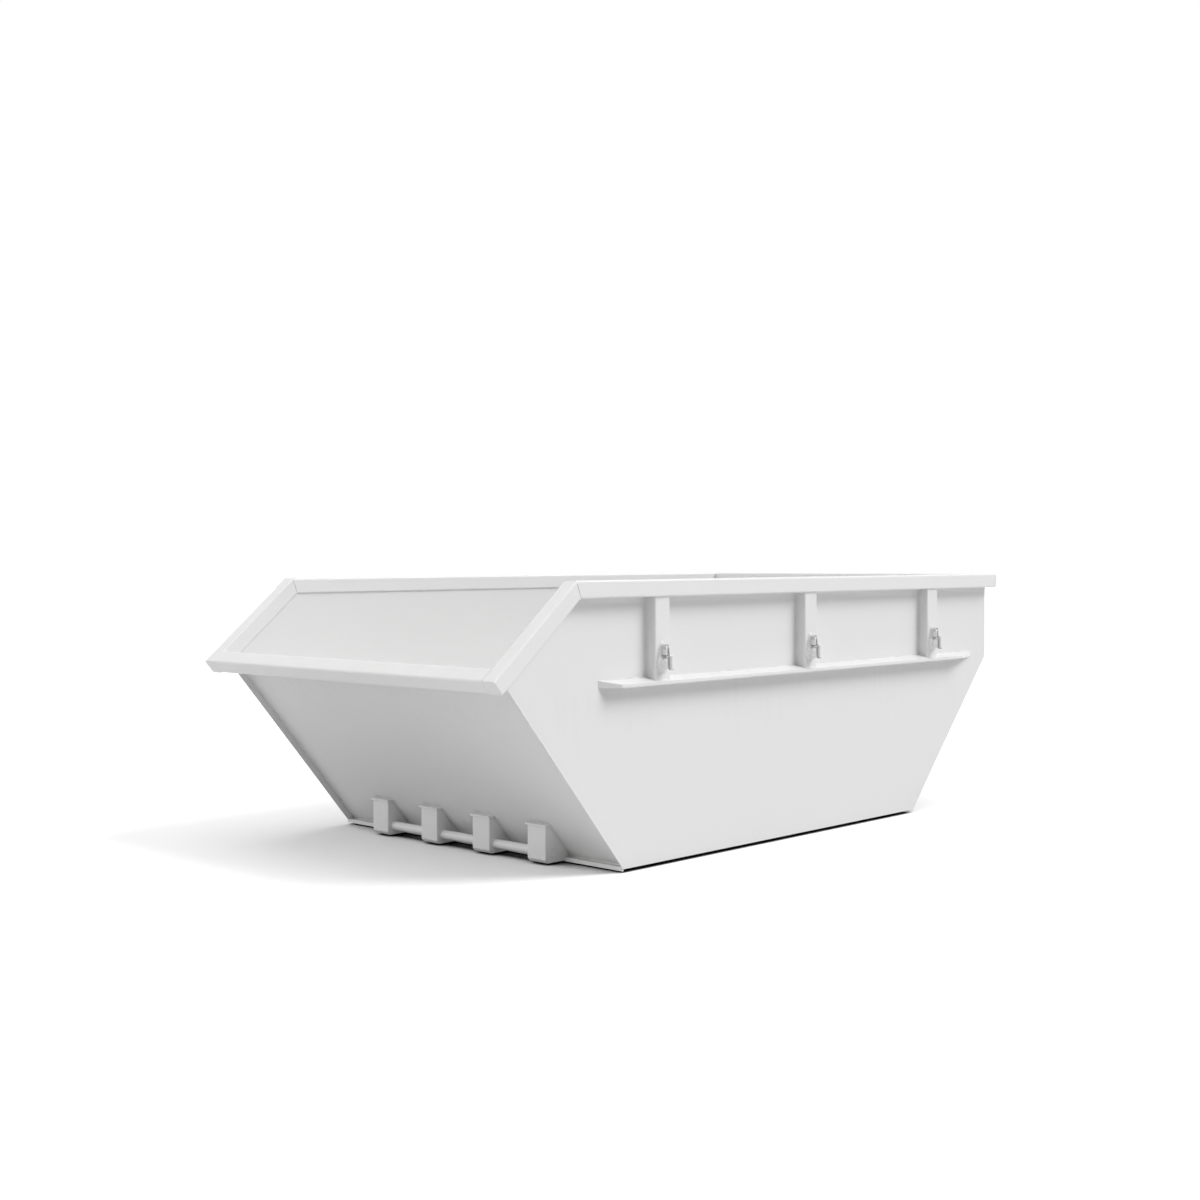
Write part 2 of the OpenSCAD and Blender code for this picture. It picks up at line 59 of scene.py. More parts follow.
# %% [markdown]
# ## The camera
#
# The container is seen from its front left corner, from a little above the height of its rim. A lens
# of about 48 mm on a full frame shows it with little distortion. The camera could be aimed at a
# point, but three angles say more plainly how it stands: the way it faces, a slight tilt down, and a
# roll of a fifth of a degree.

# %% Camera
CAMERA_PLACE = Vector((-5.7151, -5.2785, 1.2567))
CAMERA_HEADING = -46.16
CAMERA_TILT_DOWN = 1.42
CAMERA_ROLL = -0.21
LENS_MM = 48.18
SENSOR_MM = 36.0
CAMERA_REACH = 200.0

camera_data = bpy.data.cameras.new("camera")
camera_data.lens = LENS_MM
camera_data.sensor_width = SENSOR_MM
camera_data.clip_end = CAMERA_REACH
camera = bpy.data.objects.new("camera", camera_data)
bpy.context.scene.collection.objects.link(camera)
camera.matrix_world = (
    Matrix.Translation(CAMERA_PLACE)
    @ Matrix.Rotation(math.radians(CAMERA_HEADING), 4, "Z")
    @ Matrix.Rotation(math.radians(90 - CAMERA_TILT_DOWN), 4, "X")
    @ Matrix.Rotation(math.radians(CAMERA_ROLL), 4, "Z")
)
bpy.context.scene.camera = camera
bpy.context.scene.view_settings.view_transform = "Standard"
print("camera looks along", [round(-v, 3) for v in camera.matrix_world.col[2][:3]])

# %% [markdown]
# ## Building shader nodes
#
# A material is a small program made of nodes. Written out one by one, nodes take many lines, so four
# helpers do the repeated work: one adds a node and fills its inputs, one does arithmetic, one turns a
# range of values into a mask from 0 to 1, and one blends two colours. An input may be given a number,
# a colour, or the output of another node, which is then linked.

# %% Helpers for shader nodes
def node(tree, kind, inputs=None, **settings):
    """Adds a shader node, sets its properties, and fills or links its inputs."""
    made = tree.nodes.new("ShaderNode" + kind)
    for name, value in settings.items():
        setattr(made, name, value)
    for name, value in (inputs or {}).items():
        if isinstance(value, bpy.types.NodeSocket):
            tree.links.new(value, made.inputs[name])
        else:
            made.inputs[name].default_value = value
    return made


def maths(tree, operation, first, second=0.0, third=0.0):
    """One sum, product or other operation, and its result."""
    inputs = {0: first, 1: second, 2: third}
    return node(tree, "Math", inputs, operation=operation).outputs[0]


def mask(tree, value, low, high, to_low=0.0, to_high=1.0):
    """Smoothly turns the range from low to high into the range from to_low to to_high."""
    inputs = {"Value": value, "From Min": low, "From Max": high, "To Min": to_low, "To Max": to_high}
    return node(tree, "MapRange", inputs, interpolation_type="SMOOTHSTEP").outputs[0]


def blend_colours(tree, amount, first, second):
    """The first colour where amount is 0, the second where it is 1. A Mix node takes colours at 6 and 7."""
    inputs = {0: amount, 6: first, 7: second}
    return node(tree, "Mix", inputs, data_type="RGBA").outputs[2]


def grey(level):
    """A colour without any tint: equal red, green and blue, and full cover."""
    return (level, level, level, 1.0)


print("a middle grey, as nodes take it:", grey(0.5))

# %% [markdown]
# ## Effects that several finishes share
#
# Steel that stands outdoors shows the same few things everywhere, only more or less of each. Each of
# them is one node group with named inputs. A group is built once and then placed in any material
# with that material's own values. A group gives out only masks, heights and tones, never a finished
# surface, so it can feed any finish.

# %% A helper that opens a new node group
def open_group(name, inputs, outputs):
    """A new group with number inputs (name: default) and outputs. Gives its tree, inputs and output node."""
    tree = bpy.data.node_groups.new(name, "ShaderNodeTree")
    for label, default in inputs.items():
        socket = tree.interface.new_socket(label, in_out="INPUT", socket_type="NodeSocketFloat")
        socket.default_value = default
    for label in outputs:
        tree.interface.new_socket(label, in_out="OUTPUT", socket_type="NodeSocketFloat")
    given = tree.nodes.new("NodeGroupInput").outputs
    print("group", name, "takes", list(inputs), "and gives", outputs)
    return tree, given, tree.nodes.new("NodeGroupOutput")


def place_group(tree, group, inputs=None):
    """Places a group in a material and fills its inputs."""
    placed = tree.nodes.new("ShaderNodeGroup")
    placed.node_tree = group
    for label, value in (inputs or {}).items():
        if isinstance(value, bpy.types.NodeSocket):
            tree.links.new(value, placed.inputs[label])
        else:
            placed.inputs[label].default_value = value
    return placed.outputs


def object_coordinates(tree, scale=(1.0, 1.0, 1.0), rotation=(0.0, 0.0, 0.0)):
    """The place on the piece, stretched and turned as a pattern needs it."""
    place = tree.nodes.new("ShaderNodeTexCoord").outputs["Object"]
    return node(tree, "Mapping", {"Vector": place, "Scale": scale, "Rotation": rotation}).outputs[0]


def noise(tree, place, scale, detail=3.0, roughness=0.5, distortion=0.0):
    """Smooth noise from 0 to 1. Scale is about how many blots lie along a metre, detail adds finer ones."""
    inputs = {"Vector": place, "Scale": scale, "Detail": detail, "Roughness": roughness}
    inputs["Distortion"] = distortion
    return node(tree, "TexNoise", inputs).outputs["Fac"]


def openness(tree, reach, samples):
    """How open a place is, from 1 in the open to 0 where it is closed in, counting what lies within reach."""
    return node(tree, "AmbientOcclusion", {"Distance": reach}, samples=samples).outputs["AO"]


# %% [markdown]
# ### The paint film
#
# Sprayed enamel has a fine dimpled skin, called orange peel, with dimples 2 to 3 mm apart. Large sheets
# also buckle by a millimetre or so between their welds, which bends the reflections. Both are heights
# in metres here, so that the bump is as deep as the real one. A slow drift in tone goes with them.

# %% Paint film
DIMPLES_PER_METRE = 380.0
BUCKLES_PER_METRE = 2.6
CLOUDS_PER_METRE = 1.7


def make_paint_film():
    """Heights and tone of sprayed enamel on buckled sheet."""
    tree, given, out = open_group(
        "paint_film", {"Peel": 0.02 * MM, "Buckle": 0.6 * MM, "Drift": 0.02}, ["Height", "Tone"]
    )
    place = object_coordinates(tree)
    dimples = noise(tree, place, DIMPLES_PER_METRE, detail=2.0)
    buckles = noise(tree, place, BUCKLES_PER_METRE, detail=1.0, roughness=0.4)
    height = maths(
        tree, "MULTIPLY_ADD", dimples, given["Peel"], maths(tree, "MULTIPLY", buckles, given["Buckle"])
    )
    clouds = noise(tree, place, CLOUDS_PER_METRE, detail=4.0, roughness=0.6)
    lighter = maths(tree, "SUBTRACT", clouds, 0.5)
    tone = maths(tree, "MULTIPLY_ADD", lighter, given["Drift"], 1.0)
    tree.links.new(height, out.inputs["Height"])
    tree.links.new(tone, out.inputs["Tone"])
    return tree


paint_film = make_paint_film()

# %% [markdown]
# ### Edges
#
# Paint is thin on a sharp edge and rubs off there first. A Bevel node averages the surface's direction
# over a small radius. Where that average differs from the true direction there is an edge. The
# difference is broken up with noise, so that the edge wears in patches. A greater Amount lowers the
# value from which an edge counts as worn.

# %% Edge wear
EDGE_LIMITS = (0.01, 0.16)
WEAR_PATCHES_PER_METRE = 17.0
WORN_FROM = 0.6
WORN_THROUGH = 0.62


def make_edge_wear():
    """1 where an edge has lost its paint."""
    tree, given, out = open_group("edge_wear", {"Radius": 3 * MM, "Amount": 0.5}, ["Mask"])
    rounded = node(tree, "Bevel", {"Radius": given["Radius"]}, samples=6).outputs[0]
    true_way = tree.nodes.new("ShaderNodeNewGeometry").outputs["True Normal"]
    likeness = node(tree, "VectorMath", {0: rounded, 1: true_way}, operation="DOT_PRODUCT").outputs["Value"]
    edge = mask(tree, maths(tree, "SUBTRACT", 1.0, likeness), *EDGE_LIMITS)
    patches = noise(tree, object_coordinates(tree), WEAR_PATCHES_PER_METRE, detail=6.0, roughness=0.7)
    spared = maths(tree, "SUBTRACT", 1.0, given["Amount"])
    worn_from = maths(tree, "MULTIPLY", spared, WORN_FROM)
    worn = mask(tree, maths(tree, "MULTIPLY", edge, patches), worn_from, WORN_THROUGH)
    tree.links.new(worn, out.inputs["Mask"])
    return tree


edge_wear = make_edge_wear()

# %% [markdown]
# ### Dust
#
# Dust settles on what faces up, in drifts with small specks between them. The direction comes from the
# piece's own normal, so that the dust stays where it lies when the piece swings.

# %% Dust
DUST_SLOPES = (0.15, 0.95)
DUST_LIMITS = (0.45, 0.95)
DRIFTS_PER_METRE = 5.0
SPECKS_PER_METRE = 160.0
SPECK_SHARE = 0.35


def make_dust():
    """How much dust lies on each spot."""
    tree, given, out = open_group("settled_dust", {"Amount": 0.3}, ["Mask"])
    facing = tree.nodes.new("ShaderNodeTexCoord").outputs["Normal"]
    upward = node(tree, "SeparateXYZ", {0: facing}).outputs["Z"]
    flat = mask(tree, upward, *DUST_SLOPES)
    place = object_coordinates(tree)
    drifts = noise(tree, place, DRIFTS_PER_METRE, detail=7.0, roughness=0.65)
    specks = noise(tree, place, SPECKS_PER_METRE, detail=2.0)
    spread = mask(tree, maths(tree, "MULTIPLY_ADD", specks, SPECK_SHARE, drifts), *DUST_LIMITS)
    lying = maths(tree, "MULTIPLY", maths(tree, "MULTIPLY", flat, spread), given["Amount"])
    tree.links.new(lying, out.inputs["Mask"])
    return tree


settled_dust = make_dust()

# %% [markdown]
# ### Grime and painted shade in corners
#
# Rain washes open faces and leaves dirt where a cloth wouldn't reach: along welds, under ledges, round
# pins. An Ambient Occlusion node measures how open a place is, over the distance that it is given. The
# mask darkens closed-in places, so it is partly that dirt and partly painted shade.

# %% Corner grime and painted shade
SHELTER_LIMITS = (0.75, 0.15)
CORNER_PATCHES_PER_METRE = 22.0
PATCH_LIMITS = (0.25, 0.75)
THINNEST_GRIME_AND_SHADE = 0.35


def make_corner_grime_and_shade():
    """How much corners are darkened: dirt that is left there, and painted shade where they are closed in."""
    tree, given, out = open_group("corner_grime_and_shade", {"Distance": 50 * MM, "Amount": 0.5}, ["Mask"])
    # Painted shade in part: the less open a place is, the darker it is made.
    closed_in = mask(tree, openness(tree, given["Distance"], samples=6), *SHELTER_LIMITS)
    patches = noise(tree, object_coordinates(tree), CORNER_PATCHES_PER_METRE, detail=5.0, roughness=0.6)
    thickness = mask(tree, patches, *PATCH_LIMITS, THINNEST_GRIME_AND_SHADE, 1.0)
    lying = maths(tree, "MULTIPLY", closed_in, thickness)
    tree.links.new(maths(tree, "MULTIPLY", lying, given["Amount"]), out.inputs["Mask"])
    return tree


corner_grime_and_shade = make_corner_grime_and_shade()

# %% [markdown]
# ### Scuffs and scratches
#
# What is tipped in and out leaves long, thin marks. A contour line of a noise pattern that is stretched
# along one direction looks like such a mark. The line is drawn where the pattern lies within
# SCRATCH_WIDTH of its middle value. Three patterns at different slants cross each other, and a coarse
# noise keeps the marks together in places. A greater Amount makes those places larger.

# %% Scratches
SCRATCH_SLANTS = ((0.2, 0.5, 0.1), (-0.5, -0.3, 0.9), (1.1, 0.2, -0.6))
SCRATCH_STRETCH = (1.0, 14.0, 14.0)
SCRATCH_LINES_PER_METRE = 1.6
SCRATCH_WIDTH = 0.006
SCUFFED_PLACES_PER_METRE = 3.1
UNSCUFFED_LIMIT = 0.95
SCUFFED_LIMIT_DROP = 0.7
SCUFFED_PLACE_FADE = 0.12


def make_scratches():
    """1 along each scratch, in the places that are scuffed."""
    tree, given, out = open_group("scratches", {"Amount": 0.3}, ["Mask"])
    lines = 0.0
    for slant in SCRATCH_SLANTS:
        place = object_coordinates(tree, scale=SCRATCH_STRETCH, rotation=slant)
        wander = noise(tree, place, SCRATCH_LINES_PER_METRE, detail=3.0, distortion=0.4)
        off_line = maths(tree, "ABSOLUTE", maths(tree, "SUBTRACT", wander, 0.5))
        line = maths(tree, "SUBTRACT", 1.0, mask(tree, off_line, 0.0, SCRATCH_WIDTH))
        lines = maths(tree, "MAXIMUM", line, lines)
    where = noise(tree, object_coordinates(tree), SCUFFED_PLACES_PER_METRE, detail=3.0, roughness=0.7)
    limit_drop = maths(tree, "MULTIPLY", given["Amount"], SCUFFED_LIMIT_DROP)
    limit = maths(tree, "SUBTRACT", UNSCUFFED_LIMIT, limit_drop)
    here = mask(tree, where, limit, maths(tree, "ADD", limit, SCUFFED_PLACE_FADE))
    tree.links.new(maths(tree, "MULTIPLY", lines, here), out.inputs["Mask"])
    return tree


scratches = make_scratches()

# %% [markdown]
# ### Run-off
#
# Rain runs down from each ledge and edge and leaves faint upright streaks that fade out below it. The
# pattern is noise squeezed along the height. Top is the level that the streaks start from and Reach is
# how far down they fade.

# %% Run-off
STREAK_SQUEEZE = (30.0, 30.0, 0.9)
THREAD_LIMITS = (0.48, 0.78)
STREAK_START = 0.03


def make_run_off():
    """How much dirt the rain has left in upright streaks."""
    tree, given, out = open_group("run_off", {"Top": 1.1, "Reach": 0.4, "Amount": 0.3}, ["Mask"])
    place = tree.nodes.new("ShaderNodeTexCoord").outputs["Object"]
    height = node(tree, "SeparateXYZ", {0: place}).outputs["Z"]
    below = maths(tree, "DIVIDE", maths(tree, "SUBTRACT", given["Top"], height), given["Reach"])
    started = mask(tree, below, 0.0, STREAK_START)
    fading = mask(tree, below, 1.0, 0.0)
    streaks = noise(tree, object_coordinates(tree, scale=STREAK_SQUEEZE), 1.0, detail=5.0, roughness=0.6)
    threads = mask(tree, streaks, *THREAD_LIMITS)
    run = maths(tree, "MULTIPLY", maths(tree, "MULTIPLY", started, fading), threads)
    tree.links.new(maths(tree, "MULTIPLY", run, given["Amount"]), out.inputs["Mask"])
    return tree


run_off = make_run_off()

# %% [markdown]
# ### Inside or outside
#
# What is tipped in rubs only the inside of the walls. A wall's inner face looks back towards the middle
# of the container, so the product of its place and its direction, both taken level, is negative there.
# That one test tells the two sides apart on the side plates, the front and the rear alike.

# %% Inner side
LEVEL = (1.0, 1.0, 0.0)
SIDE_LIMIT = 0.02


def make_inner_side():
    """1 on the faces that look inwards."""
    tree, _, out = open_group("inner_side", {}, ["Mask"])
    spot = tree.nodes.new("ShaderNodeTexCoord").outputs
    place = node(tree, "VectorMath", {0: spot["Object"], 1: LEVEL}, operation="MULTIPLY").outputs[0]
    product = node(tree, "VectorMath", {0: place, 1: spot["Normal"]}, operation="DOT_PRODUCT")
    tree.links.new(mask(tree, product.outputs["Value"], SIDE_LIMIT, -SIDE_LIMIT), out.inputs["Mask"])
    return tree


inner_side = make_inner_side()
print("shared effects:", [group.name for group in bpy.data.node_groups])

# %% [markdown]
# ## Finishes
#
# All painted parts are one white enamel that has met with different use, so one function makes them all
# from a few numbers. The layers lie as on the real thing: steel, then paint where it isn't rubbed off,
# then grime and streaks, then dust. The grime in corners also carries painted shade there. Bare steel is
# metallic, and all dirt and that painted shade are rough. Where paint is gone the surface lies lower by
# its thickness, and a Bevel node rounds the light on each edge.

# %% Colours
ENAMEL = 0.80
STEEL = (0.36, 0.355, 0.35, 1.0)
# The grime colour also serves as painted shade in closed-in corners.
GRIME_AND_SHADE = (0.30, 0.29, 0.275, 1.0)
DUST = (0.52, 0.50, 0.47, 1.0)
print("enamel:", grey(ENAMEL), "steel:", STEEL, "grime:", GRIME_AND_SHADE, "dust:", DUST)

# %% Enamel
SCRATCH_BARENESS = 0.75
BARE_METALLIC = 0.8
DIRT_ROUGHNESS = 0.45
ROUGHEST = 0.9
PAINT_THICKNESS = 0.12 * MM
PAINTED_EDGE = 1.5 * MM


def make_enamel(name, white=ENAMEL, roughness=0.40, buckle=0.6 * MM, wear=0.25, marks=0.2, dust=0.2,
                grime_and_shade=0.35, streaks_from=None, streak_reach=0.4, streaks=0.25, inner_marks=None):
    """A painted steel finish. inner_marks gives the inner side of the walls more scratches."""
    material = bpy.data.materials.new(name)
    material.use_nodes = True
    tree = material.node_tree
    shader = tree.nodes["Principled BSDF"]
    film = place_group(tree, paint_film, {"Buckle": buckle})
    rubbed = place_group(tree, edge_wear, {"Amount": wear})["Mask"]
    amount = marks
    if inner_marks is not None:
        inside = place_group(tree, inner_side)["Mask"]
        amount = mask(tree, inside, 0.0, 1.0, marks, inner_marks)
    scratched = place_group(tree, scratches, {"Amount": amount})["Mask"]
    bare = maths(tree, "MAXIMUM", rubbed, maths(tree, "MULTIPLY", scratched, SCRATCH_BARENESS))
    # The corner mask is partly grime and partly painted shade: closed-in places are made darker.
    dirt_and_shade = place_group(tree, corner_grime_and_shade, {"Amount": grime_and_shade})["Mask"]
    if streaks_from is not None:
        wet = {"Top": streaks_from, "Reach": streak_reach, "Amount": streaks}
        dirt_and_shade = maths(tree, "MAXIMUM", dirt_and_shade, place_group(tree, run_off, wet)["Mask"])
    lying = place_group(tree, settled_dust, {"Amount": dust})["Mask"]
    painted = node(tree, "VectorMath", {0: (white, white, white), "Scale": film["Tone"]}, operation="SCALE")
    colour = blend_colours(tree, bare, painted.outputs[0], STEEL)
    colour = blend_colours(tree, dirt_and_shade, colour, GRIME_AND_SHADE)
    colour = blend_colours(tree, lying, colour, DUST)
    tree.links.new(colour, shader.inputs["Base Color"])
    cover = maths(tree, "MAXIMUM", dirt_and_shade, lying)
    clean_bare = maths(tree, "MULTIPLY", bare, maths(tree, "SUBTRACT", 1.0, cover))
    tree.links.new(maths(tree, "MULTIPLY", clean_bare, BARE_METALLIC), shader.inputs["Metallic"])
    rough = maths(tree, "MULTIPLY_ADD", cover, DIRT_ROUGHNESS, roughness)
    tree.links.new(maths(tree, "MINIMUM", rough, ROUGHEST), shader.inputs["Roughness"])
    lost = maths(tree, "MULTIPLY", bare, PAINT_THICKNESS)
    height = maths(tree, "SUBTRACT", film["Height"], lost)
    soft = node(tree, "Bevel", {"Radius": PAINTED_EDGE}, samples=4).outputs[0]
    bump = node(tree, "Bump", {"Strength": 1.0, "Distance": 1.0, "Height": height, "Normal": soft})
    tree.links.new(bump.outputs[0], shader.inputs["Normal"])
    return material


# %% [markdown]
# The latches and their pins aren't painted. The latches are dull zinc, which is mottled, and the pins
# are brighter. Both are metallic. One noise makes the mottling and a finer one the pits, rubbed edges
# are brighter and smoother, and grime, with painted shade in closed-in corners, takes the metal's
# shine away.

# %% Plated steel
MOTTLES_PER_METRE = 120.0
MOTTLE_LIMITS = (0.35, 0.68)
PITS_PER_METRE = 300.0
PIT_DEPTH = 0.05 * MM
PLATED_EDGE = 1 * MM
RUBBED_BRIGHTNESS = 1.2
PLATED_METALLIC = 0.85
GRIMY_METALLIC = 0.2
LIGHT_MOTTLE_GLOSS = 0.12
RUBBED_GLOSS = 0.1


def make_plated(name, light, dark, roughness, wear=0.5, grime_and_shade=0.5):
    """A plated steel finish, mottled between two greys."""
    material = bpy.data.materials.new(name)
    material.use_nodes = True
    tree = material.node_tree
    shader = tree.nodes["Principled BSDF"]
    place = object_coordinates(tree)
    clouds = noise(tree, place, MOTTLES_PER_METRE, detail=5.0, roughness=0.65)
    mottle = mask(tree, clouds, *MOTTLE_LIMITS)
    colour = blend_colours(tree, mottle, grey(dark), grey(light))
    rubbed = place_group(tree, edge_wear, {"Amount": wear, "Radius": 2 * MM})["Mask"]
    colour = blend_colours(tree, rubbed, colour, grey(light * RUBBED_BRIGHTNESS))
    # The corner mask is partly grime and partly painted shade: closed-in places are made darker.
    dirt_and_shade = place_group(tree, corner_grime_and_shade, {"Amount": grime_and_shade, "Distance": 20 * MM})["Mask"]
    colour = blend_colours(tree, dirt_and_shade, colour, GRIME_AND_SHADE)
    tree.links.new(colour, shader.inputs["Base Color"])
    tree.links.new(mask(tree, dirt_and_shade, 0.0, 1.0, PLATED_METALLIC, GRIMY_METALLIC), shader.inputs["Metallic"])
    rough = maths(tree, "MULTIPLY_ADD", mottle, -LIGHT_MOTTLE_GLOSS, roughness)
    tree.links.new(maths(tree, "MULTIPLY_ADD", rubbed, -RUBBED_GLOSS, rough), shader.inputs["Roughness"])
    pits = maths(tree, "MULTIPLY", noise(tree, place, PITS_PER_METRE, detail=3.0), PIT_DEPTH)
    soft = node(tree, "Bevel", {"Radius": PLATED_EDGE}, samples=4).outputs[0]
    bump = node(tree, "Bump", {"Strength": 1.0, "Distance": 1.0, "Height": pits, "Normal": soft})
    tree.links.new(bump.outputs[0], shader.inputs["Normal"])
    return material


# %% [markdown]
# Each slot of the record gets one finish. The floor and the skids are scraped most, the rim and the
# tipping bar are rubbed, and the walls carry faint streaks from the ledge and from the rim down. The
# lugs are a lighter white, as the photograph shows them; that extra lightness is painted light, which
# brightens them where their ears and latches shade them. The skids are a darker white, painted shade
# that keeps the gap under the base dark.

# %% One finish for each slot
RIM_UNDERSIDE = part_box("left_top_rail")[0].z
LEDGE_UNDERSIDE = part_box("left_ledge")[0].z

finishes = {
    "shell_paint": make_enamel(
        "shell_paint", marks=0.08, inner_marks=0.3, wear=0.2, dust=0.25, streaks_from=LEDGE_UNDERSIDE,
        streak_reach=0.45, streaks=0.05
    ),
    "floor_paint": make_enamel("floor_paint", white=0.72, roughness=0.5, marks=0.9, dust=0.55, wear=0.5),
    "rim_paint": make_enamel("rim_paint", white=0.82, buckle=0.1 * MM, marks=0.25, wear=0.35, dust=0.12),
    "stiffener_paint": make_enamel(
        "stiffener_paint", white=0.81, buckle=0.2 * MM, marks=0.15, wear=0.25, streaks_from=RIM_UNDERSIDE,
        streak_reach=0.3, streaks=0.06
    ),
    # Painted light: the lugs' lighter white brightens them where their ears and latches shade them.
    "lug_paint": make_enamel("lug_paint", white=0.86, buckle=0.0, marks=0.3, wear=0.35, dust=0.05, grime_and_shade=0.1),
    "latch_zinc": make_plated("latch_zinc", light=0.52, dark=0.40, roughness=0.50, grime_and_shade=0.3),
    "hinge_steel": make_plated("hinge_steel", light=0.62, dark=0.48, roughness=0.42),
    "tipping_paint": make_enamel("tipping_paint", white=0.81, buckle=0.0, marks=0.4, wear=0.4, dust=0.2),
    # Painted shade: the skids' darker white keeps the gap under the base dark.
    "skid_paint": make_enamel("skid_paint", white=0.5, roughness=0.55, buckle=0.0, marks=0.9, wear=0.7),
}

slot_of = {part["node"]: part["material_slot"] for part in frame["record"]["subparts"]}
for name, piece in nodes.items():
    piece.data.materials.clear()
    piece.data.materials.append(finishes[slot_of[name]])
print("finishes:", sorted(finishes))

# %% [markdown]
# ## Welds
#
# Construction drawings leave welds out, but on the real container a bead of weld runs along every joint.
# A bead is a row of small overlapping ripples, one for each pulse of the torch. Drawing each ripple by
# hand would take days, and a picture of ripples would look flat from the side. So one ripple is
# modelled from a short tube, an Array modifier repeats it, and a Curve modifier bends the row along the
# joint. The ends are closed, and each bead is a piece of its own mesh.
#
# A joint's route isn't typed in. It runs between corners of the plates that meet there, and a corner is
# found by asking a piece which of its points lies furthest in some direction. Where several points lie
# equally far, a small share of another axis decides: (0, 30, -1) is the lowest of the outermost points.

# %% Corners of pieces and routes
def corner(name, way):
    """The point of a CAD piece that lies furthest in a direction."""
    way = Vector(way)
    return max((point.co for point in nodes[name].data.vertices), key=way.dot).copy()


def arc(centre, radius, start, end, across, up, steps=10):
    """Points along a circle in the plane of two directions, between two angles in degrees."""
    angles = [math.radians(start + (end - start) * step / steps) for step in range(steps + 1)]
    return [centre + radius * (math.cos(angle) * across + math.sin(angle) * up) for angle in angles]


def ring(centre, radius, across, up, points=24):
    """Points all the way round a circle, for a closed route."""
    return arc(centre, radius, 0, 360 - 360 / points, across, up, steps=points - 1)


def mirrored(point):
    """The same point on the other side of the container."""
    return Vector((point.x, -point.y, point.z))


X_WAY = Vector((1.0, 0.0, 0.0))
Y_WAY = Vector((0.0, 1.0, 0.0))
Z_WAY = Vector((0.0, 0.0, 1.0))
rear_foot = corner("rear_slope_sheet", (-1, 1, 0))
print("inner foot of the rear slope:", [round(v, 3) for v in rear_foot])

# %% One bead of weld
RIPPLE_PITCH = 6 * MM
RIPPLE_SWELL = 1.18
RIPPLE_CREST = 0.6
BEAD_SIDES = 8
BEAD_END = 0.55
END_SLACK = 0.2 * RIPPLE_PITCH
RIPPLE_MERGE = 0.01 * MM
CLOSING_MERGE = 0.3 * MM


def deselect_all():
    """An operator acts on all that is selected, so this comes before each new piece."""
    bpy.ops.object.select_all(action="DESELECT")


def make_route(points, closed):
    """A curve through the points, which a Curve modifier can bend a piece along."""
    data = bpy.data.curves.new("route", "CURVE")
    data.dimensions = "3D"
    line = data.splines.new("POLY")
    line.points.add(len(points) - 1)
    for spot, place in zip(line.points, points):
        spot.co = (*place, 1.0)
    line.use_cyclic_u = closed
    route = bpy.data.objects.new("route", data)
    bpy.context.scene.collection.objects.link(route)
    return route


def pick_ends(mesh, length):
    """Selects the points at the two ends of a row that lies along X."""
    for point in mesh.vertices:
        point.select = point.co.x < END_SLACK or point.co.x > length - END_SLACK


def bead(points, size, closed=False):
    """A rippled bead of weld along a route. Gives its object."""
    legs = zip(points, points[1:] + points[:1] if closed else points[1:])
    length = sum((far - near).length for near, far in legs)
    count = max(2, round(length / RIPPLE_PITCH))
    pitch = length / count
    crest = (pitch * RIPPLE_CREST, 0.0, 0.0)
    deselect_all()
    bpy.ops.mesh.primitive_cylinder_add(
        vertices=BEAD_SIDES, radius=size, depth=pitch, end_fill_type="NOTHING",
        location=(pitch / 2, 0.0, 0.0), rotation=(0.0, math.pi / 2, 0.0)
    )
    row = bpy.context.object
    bpy.ops.object.transform_apply(location=True, rotation=True)
    bpy.ops.object.mode_set(mode="EDIT")
    bpy.ops.mesh.select_all(action="SELECT")
    bpy.ops.mesh.bisect(plane_co=crest, plane_no=(1.0, 0.0, 0.0))
    bpy.ops.transform.resize(value=(1.0, RIPPLE_SWELL, RIPPLE_SWELL), center_override=crest)
    bpy.ops.object.mode_set(mode="OBJECT")
    repeat = row.modifiers.new("ripples", "ARRAY")
    repeat.count = count
    repeat.use_merge_vertices = True
    repeat.merge_threshold = RIPPLE_MERGE
    bpy.ops.object.modifier_apply(modifier="ripples")
    if not closed:
        pick_ends(row.data, length)
        bpy.ops.object.mode_set(mode="EDIT")
        bpy.ops.transform.resize(value=(1.0, BEAD_END, BEAD_END), center_override=(0.0, 0.0, 0.0))
        bpy.ops.mesh.select_all(action="SELECT")
        bpy.ops.mesh.fill_holes(sides=BEAD_SIDES)
        bpy.ops.object.mode_set(mode="OBJECT")
    route = make_route(points, closed)
    bend = row.modifiers.new("route", "CURVE")
    bend.object = route
    bpy.ops.object.modifier_apply(modifier="route")
    if closed:
        bpy.ops.object.mode_set(mode="EDIT")
        bpy.ops.mesh.select_all(action="SELECT")
        bpy.ops.mesh.remove_doubles(threshold=CLOSING_MERGE)
        bpy.ops.object.mode_set(mode="OBJECT")
    bpy.data.objects.remove(route)
    bpy.ops.object.shade_smooth()
    return row


print("ripples:", round(RIPPLE_PITCH / MM), "mm long, on a tube with", BEAD_SIDES, "sides")

# %% From beads to finished pieces
def finish_piece(piece, name, slot):
    """Names a new piece, gives it a finish and lets it ride on the container."""
    piece.name = name
    piece.data.name = name
    piece.data.materials.clear()
    piece.data.materials.append(finishes[slot])
    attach(piece, BODY)
    return piece


def weld_set(name, slot, beads):
    """Joins several beads into one piece."""
    deselect_all()
    for one in beads:
        one.select_set(True)
    bpy.context.view_layer.objects.active = beads[0]
    if len(beads) > 1:
        bpy.ops.object.join()
    return finish_piece(bpy.context.object, name, slot)


